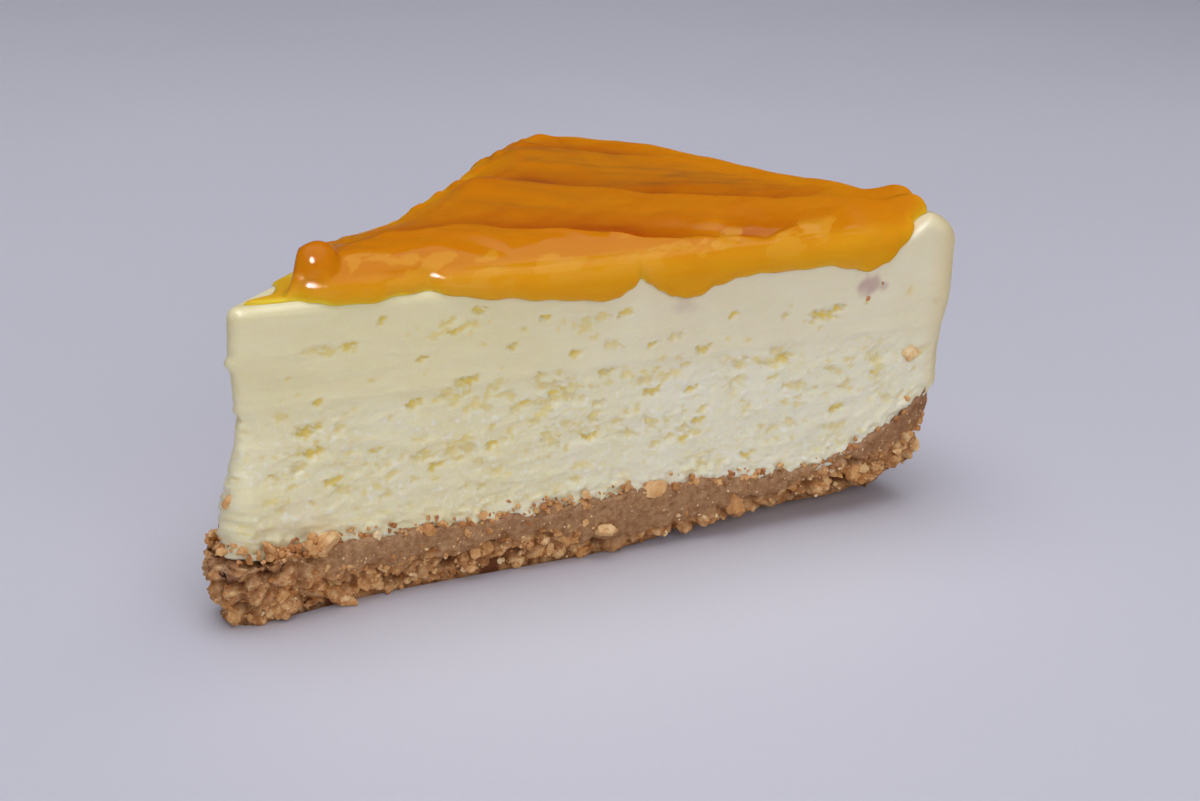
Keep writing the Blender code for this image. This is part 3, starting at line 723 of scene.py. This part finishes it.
def topping_rings(plan):
    """The topping's skin, and for each point how deep the topping is and how much painted crease shade it
    gets.
    """
    total = np.linalg.norm(plan.shoulder - plan.middle, axis=1) + lip_reach(plan)
    band = np.minimum(LIP_BAND, 0.45 * total)
    rings, depths, crease_shades = [], [], []
    for share in np.concatenate((np.linspace(0.0, 0.9, 5), np.linspace(0.93, 1.0, 6))):
        points, normals = crown_point(plan, total * share)
        rings.append(points + normals * TOPPING_SUNK)
        depths.append(np.zeros(len(total)))
        crease_shades.append(np.zeros(len(total)))
    spokes = [total - band * share for share in np.linspace(0.0, 1.0, LIP_RINGS) ** 1.4]
    spokes += [(total - band) * share for share in np.linspace(1.0, 0.0, TOPPING_RINGS)[1:]]
    for spoke in spokes:
        points, normals = crown_point(plan, spoke)
        rounded = np.sqrt(1.0 - (1.0 - np.clip((total - spoke) / LIP_ROUND, 0.0, 1.0)) ** 2)
        full, crease_shade = topping_depth(*points[:, :2].T)
        depth = LIP_EDGE + (full - LIP_EDGE) * rounded
        rings.append(points + normals * (depth + 0.02)[:, None])
        depths.append(depth)
        crease_shades.append(crease_shade)
    return np.array(rings), np.array(depths), np.array(crease_shades)


# Loose crumbs

def crumb_shapes(level, kinds, seed):
    """A few angular crumb shapes of unit size: a ball, dented by noise and cut by flat faces."""
    draw = np.random.default_rng(seed)
    ball = bmesh.new()
    bmesh.ops.create_icosphere(ball, subdivisions=level, radius=1.0)
    points = np.array([vertex.co[:] for vertex in ball.verts])
    faces = np.array([[vertex.index for vertex in face.verts] for face in ball.faces])
    ball.free()
    shapes = []
    for k in range(kinds):
        dents = 1.0 + 0.55 * rough(points, 0.9, 3.0 * k) + 0.35 * rough(points, 0.4, 5.0 * k)
        shape = points * dents[:, None]
        for _ in range(FLAT_FACES_PER_CRUMB):
            way = draw.normal(size=3)
            way /= np.linalg.norm(way)
            beyond = np.maximum(shape @ way - draw.uniform(0.45, 0.8), 0.0)
            shape = shape - beyond[:, None] * way
        shapes.append(shape)
    return shapes, faces


def scatter_crumbs(name, places, sizes, tones, level, seed, material):
    """One mesh of many crumbs, each at its own place, size, turn and tone."""
    draw = np.random.default_rng(seed)
    shapes, faces = crumb_shapes(level, CRUMB_SHAPES, seed)
    points, all_faces, tone = [], [], []
    for k, (place, size) in enumerate(zip(places, sizes)):
        turn = np.linalg.qr(draw.normal(size=(3, 3)))[0]
        if np.linalg.det(turn) < 0:
            turn[:, 0] *= -1
        shape = shapes[k % len(shapes)] * size * draw.uniform(0.7, 1.25, 3)
        points.append(shape @ turn.T + place)
        all_faces.append(faces + k * len(shape))
        tone.append(np.full(len(shape), tones[k]))
    points = np.vstack(points)
    points[:, 2] = np.maximum(points[:, 2], 0.0)
    layers = {"tone": np.concatenate(tone)}
    return make_object(name, points, np.vstack(all_faces).tolist(), layers, material, True)


# Materials

class Nodes:
    """Short calls to build one material's node tree."""

    def __init__(self, name):
        self.material = bpy.data.materials.new(name)
        self.material.use_nodes = True
        self.tree = self.material.node_tree
        self.shader = self.tree.nodes["Principled BSDF"]

    def add(self, kind, links=None, **settings):
        node = self.tree.nodes.new(kind)
        for key, value in settings.items():
            setattr(node, key, value)
        for socket, value in (links or {}).items():
            if isinstance(value, bpy.types.NodeSocket):
                self.tree.links.new(value, node.inputs[socket])
            else:
                node.inputs[socket].default_value = value
        return node

    def layer(self, name):
        return self.add("ShaderNodeAttribute", attribute_name=name).outputs["Fac"]

    def noise(self, size_mm, detail=2.0, stretch=(1.0, 1.0, 1.0), turn=0.0):
        place = self.add("ShaderNodeTexCoord").outputs["Object"]
        mapped = self.add("ShaderNodeMapping", {
            "Vector": place,
            "Rotation": (0.0, 0.0, turn),
            "Scale": tuple(1.0 / (size_mm * MM * way) for way in stretch),
        }).outputs["Vector"]
        node = self.add("ShaderNodeTexNoise", {"Vector": mapped, "Scale": 1.0, "Detail": detail})
        return node.outputs["Fac"]

    def between(self, value, low, high, start=0.0, end=1.0):
        return self.add("ShaderNodeMapRange", {
            "Value": value, "From Min": low, "From Max": high, "To Min": start, "To Max": end,
        }).outputs["Result"]

    def times(self, first, second):
        return self.add("ShaderNodeMath", {0: first, 1: second}, operation="MULTIPLY").outputs["Value"]

    def plus(self, first, second):
        return self.add("ShaderNodeMath", {0: first, 1: second}, operation="ADD").outputs["Value"]

    def ramp(self, value, stops):
        node = self.add("ShaderNodeValToRGB", {"Fac": value})
        elements = node.color_ramp.elements
        while len(elements) < len(stops):
            elements.new(0.5)
        for element, (position, colour) in zip(elements, stops):
            element.position = position
            element.color = (*colour, 1.0)
        return node.outputs["Color"]

    def mix(self, share, first, second):
        node = self.add("ShaderNodeMix", data_type="RGBA")
        for index, value in ((MIX_SHARE, share), (MIX_FIRST, first), (MIX_SECOND, second)):
            if isinstance(value, bpy.types.NodeSocket):
                self.tree.links.new(value, node.inputs[index])
            elif index == MIX_SHARE:
                node.inputs[index].default_value = value
            else:
                node.inputs[index].default_value = (*value, 1.0)
        return node.outputs[MIX_RESULT]

    def bump(self, height, distance_mm, strength=1.0, under=None):
        node = self.add("ShaderNodeBump", {
            "Height": height, "Distance": distance_mm * MM, "Strength": strength,
        })
        if under is not None:
            self.tree.links.new(under, node.inputs["Normal"])
        return node.outputs["Normal"]

    def set(self, **sockets):
        for name, value in sockets.items():
            socket = self.shader.inputs[name.replace("_", " ")]
            if isinstance(value, bpy.types.NodeSocket):
                self.tree.links.new(value, socket)
            else:
                socket.default_value = value
        return self.material


def biscuit_material():
    n = Nodes("baked_biscuit")
    mottle = n.noise(1.6, 3.0)
    grain = n.noise(0.35, 3.0)
    patchy = n.noise(0.8, 3.0, turn=0.4)
    crumb = n.ramp(n.plus(n.times(mottle, 0.5), n.times(patchy, 0.5)), CRUST_COLOURS)
    paste = n.ramp(patchy, PASTE_COLOURS)
    paste = n.mix(n.layer("rim"), paste, RIM_PASTE_COLOUR)
    colour = n.mix(n.layer("paste"), crumb, paste)
    specks = n.between(n.noise(0.5, 1.0), 0.68, 0.74)
    colour = n.mix(n.times(specks, 0.55), colour, SPECK_COLOUR)
    # Small dark spots of painted shade, as in tiny pits in the base
    pit_shade = n.between(n.noise(0.7, 1.0, turn=0.7), 0.32, 0.26)
    colour = n.mix(n.times(pit_shade, 0.5), colour, PIT_SHADE_COLOUR)
    # Painted shade in the base's cracks and holes
    colour = n.mix(n.layer("crevice_shade"), colour, CREVICE_SHADE_COLOUR)
    bump = n.bump(grain, 0.25, 0.8)
    return n.set(Base_Color=colour, Roughness=0.62, Normal=bump, Specular_IOR_Level=0.2)


def crumb_material():
    n = Nodes("golden_crumb")
    grain = n.noise(0.35, 3.0)
    tone = n.plus(n.layer("tone"), n.between(n.noise(0.9, 2.0), 0.3, 0.7, -0.15, 0.15))
    colour = n.ramp(tone, CRUMB_COLOURS)
    bump = n.bump(grain, 0.2, 0.7)
    return n.set(Base_Color=colour, Roughness=0.68, Normal=bump, Specular_IOR_Level=0.2)


def filling_material():
    n = Nodes("set_cheese_filling")
    cloud = n.noise(7.0, 2.0)
    streak = n.noise(1.2, 3.0, (4.0, 4.0, 0.6))
    grain = n.noise(0.32, 3.0)
    lower = n.mix(n.layer("pale"), n.ramp(cloud, LOWER_TIP_COLOURS), n.ramp(cloud, LOWER_PALE_COLOURS))
    upper = n.mix(n.layer("pale"), n.ramp(cloud, UPPER_TIP_COLOURS), n.ramp(cloud, UPPER_PALE_COLOURS))
    yolk = n.between(n.noise(1.3, 2.0, (1.6, 1.6, 0.8)), 0.58, 0.72, 0.0, 0.5)
    lower = n.mix(yolk, lower, YOLK_COLOUR)
    # Small white flecks of painted highlight on the filling's lower part
    fleck_highlight = n.between(n.noise(0.8, 3.0), 0.56, 0.68, 0.0, 0.6)
    lower = n.mix(fleck_highlight, lower, FLECK_HIGHLIGHT_COLOUR)
    colour = n.mix(n.layer("upper"), lower, upper)
    colour = n.mix(n.between(streak, 0.45, 0.75, 0.0, 0.18), colour, STREAK_COLOUR)
    colour = n.mix(n.between(n.layer("pore"), 0.1, 1.0, 0.0, 0.9), colour, PORE_COLOUR)
    colour = n.mix(n.layer("rim"), colour, FILLING_RIM_COLOUR)
    colour = n.mix(n.layer("stain"), colour, STAIN_COLOUR)
    gloss = n.between(streak, 0.3, 0.7, 0.34, 0.5)
    bump = n.bump(grain, 0.12, 0.5)
    bump = n.bump(streak, 0.25, 0.35, bump)
    return n.set(
        Base_Color=colour, Roughness=gloss, Normal=bump, Specular_IOR_Level=0.25, Subsurface_Weight=0.35,
        Subsurface_Radius=(1.0, 0.75, 0.35), Subsurface_Scale=1.6 * MM,
    )


def mango_material():
    n = Nodes("glossy_mango")
    depth = n.between(n.layer("depth"), 0.0, 6.5)
    mottle = n.between(n.noise(6.0, 3.0, (2.5, 1.0, 1.0), STROKE_ANGLE), 0.3, 0.7, -0.06, 0.06)
    colour = n.ramp(n.plus(depth, mottle), MANGO_COLOURS)
    # Painted shade in the creases behind the crests, broken up by the mottle and only where the topping is
    # thick
    shade = n.between(n.plus(n.layer("crease_shade"), n.times(mottle, 1.6)), 0.12, 0.75, 0.0, 0.95)
    thick = n.between(n.layer("depth"), 0.8, 2.6)
    colour = n.mix(n.times(shade, thick), colour, CREASE_SHADE_COLOUR)
    # Pale patches of painted reflection on the topping's near lip
    painted_reflection = n.between(n.noise(4.0, 3.0, (2.0, 1.0, 1.0)), 0.5, 0.53, 0.0, 0.6)
    colour = n.mix(n.times(painted_reflection, n.layer("front")), colour, REFLECTION_PATCH_COLOUR)
    bump = n.bump(n.noise(2.2, 2.0, (5.0, 1.0, 1.0), STROKE_ANGLE), 0.12, 0.3)
    return n.set(
        Base_Color=colour, Roughness=n.between(n.layer("matte"), 0.0, 1.0, 0.05, 0.6), Normal=bump,
        IOR=1.33, Specular_IOR_Level=n.between(n.layer("matte"), 0.0, 1.0, 0.14, 0.02),
        Subsurface_Weight=0.3, Subsurface_Radius=(1.0, 0.3, 0.05), Subsurface_Scale=1.8 * MM,
    )


def floor_material():
    n = Nodes("pale_floor")
    shade = n.noise(220.0, 2.0)
    colour = n.ramp(shade, FLOOR_COLOURS)
    return n.set(Base_Color=colour, Roughness=0.6, Specular_IOR_Level=0.3)


# The pieces

def make_base(material):
    """The base's skin, and its rings for the crumbs to sit on."""
    plan = Plan(BASE_STATIONS)
    rings, paste, crevice_shade = crumble(base_rings(plan))
    rim = 0.6 * smooth(80.0, 100.0, plan.radius)
    skin = wrap("biscuit_base_skin", rings, {"paste": paste, "crevice_shade": crevice_shade, "rim": rim}, material)
    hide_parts("biscuit_base")
    return skin, rings


def make_crumbs(rings, material):
    """Crumbs bedded in the base: thick over its lower half, sparse in the buttery band above."""
    draw = np.random.default_rng(BEDDED_SEED)
    normals = outward(rings)
    stations = rings.shape[1]
    pieces = []
    for name, count, (small, large), (first, last), level, (dark, light), seed in CRUMB_KINDS:
        station = draw.integers(0, stations, count)
        ring = (first + (last - first) * draw.beta(1.3, 1.6, count)).astype(int)
        size = small + (large - small) * draw.beta(1.2, 2.2, count)
        bedded = size * draw.uniform(-0.8, -0.1, count)
        place = rings[ring, station] + normals[ring, station] * bedded[:, None]
        high = (place[:, 2] > size * 0.4) & (draw.random(count) > 0.75 * pressed_smooth(place))
        reddish = 0.3 * np.exp(-((radius_of(place[:, 0], place[:, 1]) / 12.0) ** 2))
        reddish = reddish * smooth(2.0, 4.0, place[:, 2])
        tones = draw.uniform(dark, light, count) - reddish
        pieces.append(scatter_crumbs(name, place[high], size[high], tones[high], level, seed, material))
    return pieces


def make_stray_crumbs(material):
    """The crumbs that stick to the filling's near cut, along its foot and round its tip."""
    draw = np.random.default_rng(STRAY_SEED)
    places, sizes, tones = (list(column) for column in zip(*PLACED_CRUMBS))
    for _ in range(FOOT_CRUMBS):
        u = 3.0 + 95.0 * draw.beta(1.0, 1.5)
        places.append((u, -0.1 - 0.5 * draw.random(), float(base_top(u, 0.0)) + draw.normal(0.0, 0.6)))
        sizes.append(0.12 + 0.8 * draw.beta(1.0, 3.5))
        tones.append(draw.uniform(0.1, 0.75))
    tip = Plan(SKIN_STATIONS)
    corner = np.nonzero(tip.radius < TIP_REACH)[0]
    for k in draw.choice(corner, TIP_CRUMBS):
        flat = tip.at[k] + tip.out[k] * draw.uniform(1.5, 3.4)
        places.append((*flat, float(base_top(*flat)) + draw.normal(0.2, 0.5)))
        sizes.append(0.2 + 0.8 * draw.beta(1.0, 2.5))
        tones.append(draw.uniform(0.1, 0.7))
    return scatter_crumbs("stray_crumbs", np.array(places), sizes, tones, 2, 37, material)


def make_filling(material):
    plan = Plan(SKIN_STATIONS)
    rings, pore, upper, stain = filling_rings(plan)
    pale = smooth(30.0, 62.0, plan.radius)
    layers = {"pore": pore, "upper": upper, "stain": stain, "rim": plan.rim, "pale": pale}
    skin = wrap("cheese_filling_skin", rings, layers, material)
    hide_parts("cheese_filling")
    return skin


def matte_share(u, v):
    """How matte the topping is: along its far edge, at the rim, and partly on its near slope."""
    radius = radius_of(u, v)
    far = 1.0 - smooth(5.0, 14.0, from_far_cut(u, v))
    far = far * smooth(28.0, 38.0, radius) * (1.0 - smooth(70.0, 84.0, radius))
    rim = smooth(86.0, 92.0, radius)
    slope = smooth(4.0, 8.0, v) * (1.0 - smooth(16.0, 24.0, v))
    return np.maximum(np.maximum(far, rim), 0.6 * slope * smooth(22.0, 32.0, radius))


def make_topping(material):
    rings, depth, crease_shade = topping_rings(Plan(SKIN_STATIONS))
    u, v = rings[..., 0], rings[..., 1]
    # The near lip's band, where the pale patches of painted reflection go
    front = smooth(-1.4, -0.8, v) * (1.0 - smooth(3.0, 5.0, v)) * (u > 17.0) * (u < 88.0)
    layers = {"depth": depth, "crease_shade": crease_shade, "matte": matte_share(u, v), "front": front}
    skin = wrap("mango_topping_skin", rings, layers, material)
    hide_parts("mango_topping")
    return skin


# Camera, light and floor

def make_camera():
    yaw, pitch, roll = CAMERA_YAW, CAMERA_PITCH, CAMERA_ROLL
    look = Vector((math.sin(yaw) * math.cos(pitch), math.cos(yaw) * math.cos(pitch), -math.sin(pitch)))
    right = look.cross(Vector((0.0, 0.0, 1.0))).normalized()
    up = right.cross(look)
    turned_right = math.cos(roll) * right + math.sin(roll) * up
    turned_up = math.cos(roll) * up - math.sin(roll) * right
    to_part = Matrix.Rotation(-CUT_ANGLE / 2, 3, "Z")
    axes = Matrix((to_part @ turned_right, to_part @ turned_up, to_part @ -look)).transposed()
    data = bpy.data.cameras.new("camera")
    data.sensor_width = SENSOR_WIDTH
    data.lens = CAMERA_LENS
    data.clip_start = 0.01
    camera = bpy.data.objects.new("camera", data)
    camera.matrix_world = Matrix.Translation(part_frame(np.array(CAMERA_AT)).tolist()) @ axes.to_4x4()
    bpy.context.scene.collection.objects.link(camera)
    bpy.context.scene.camera = camera


def make_light(name, place, target, size, power, colour):
    data = bpy.data.lights.new(name, "AREA")
    data.shape = "RECTANGLE"
    data.size, data.size_y = size
    data.energy = power
    data.color = colour
    light = bpy.data.objects.new(name, data)
    light.location = place
    light.rotation_euler = (Vector(target) - Vector(place)).to_track_quat("-Z", "Y").to_euler()
    bpy.context.scene.collection.objects.link(light)
    return light


def make_floor():
    shape = bmesh.new()
    bmesh.ops.create_grid(shape, x_segments=2, y_segments=2, size=FLOOR_HALF)
    mesh = bpy.data.meshes.new("floor")
    shape.to_mesh(mesh)
    shape.free()
    mesh.materials.append(floor_material())
    floor = bpy.data.objects.new("floor", mesh)
    bpy.context.scene.collection.objects.link(floor)


def make_lights():
    """Two softboxes, and a small square frame of light that shows only in the gloss."""
    for name, place, size, power, colour in SOFTBOXES:
        make_light(name, place, LIGHTS_AIM, size, power, colour)
    aim = (Vector(LIGHTS_AIM) - Vector(GLINT_FRAME_AT)).normalized()
    side = aim.cross(Vector((0.0, 0.0, 1.0))).normalized()
    level, upright = (BAR_LONG, BAR_THIN), (BAR_THIN, BAR_LONG)
    bars = ((0.0, 0.5, level), (0.0, -0.5, level), (0.5, 0.0, upright), (-0.5, 0.0, upright))
    for k, (sideways, up, size) in enumerate(bars):
        place = Vector(GLINT_FRAME_AT) + (sideways * side + up * side.cross(aim)) * BAR_LONG
        bar = make_light("glint_frame_%d" % k, place, place + aim, size, BAR_POWER, (1.0, 1.0, 1.0))
        bar.visible_diffuse = False


def make_room():
    """The light from all round, from dark to pale with the way that it comes from."""
    world = bpy.data.worlds.new("studio")
    world.use_nodes = True
    tree = world.node_tree
    background = tree.nodes["Background"]
    background.inputs["Strength"].default_value = 1.0
    way = tree.nodes.new("ShaderNodeTexCoord")
    towards = tree.nodes.new("ShaderNodeVectorMath")
    towards.operation = "DOT_PRODUCT"
    towards.inputs[1].default_value = ROOM_PALE_WAY
    shade = tree.nodes.new("ShaderNodeValToRGB")
    tree.links.new(way.outputs["Generated"], towards.inputs[0])
    tree.links.new(towards.outputs["Value"], shade.inputs["Fac"])
    tree.links.new(shade.outputs["Color"], background.inputs["Color"])
    for element, (position, colour) in zip(shade.color_ramp.elements, (ROOM_DARK, ROOM_PALE)):
        element.position = position
        element.color = colour
    bpy.context.scene.world = world
    bpy.context.scene.view_settings.view_transform = "Standard"


def main():
    biscuit, crumb = biscuit_material(), crumb_material()
    base, base_skin = make_base(biscuit)
    filling = make_filling(filling_material())
    topping = make_topping(mango_material())
    crumbs = make_crumbs(base_skin, crumb) + [make_stray_crumbs(crumb)]
    for piece in (base, filling, topping, *crumbs):
        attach(piece, "root")
    make_camera()
    make_floor()
    make_lights()
    make_room()


main()
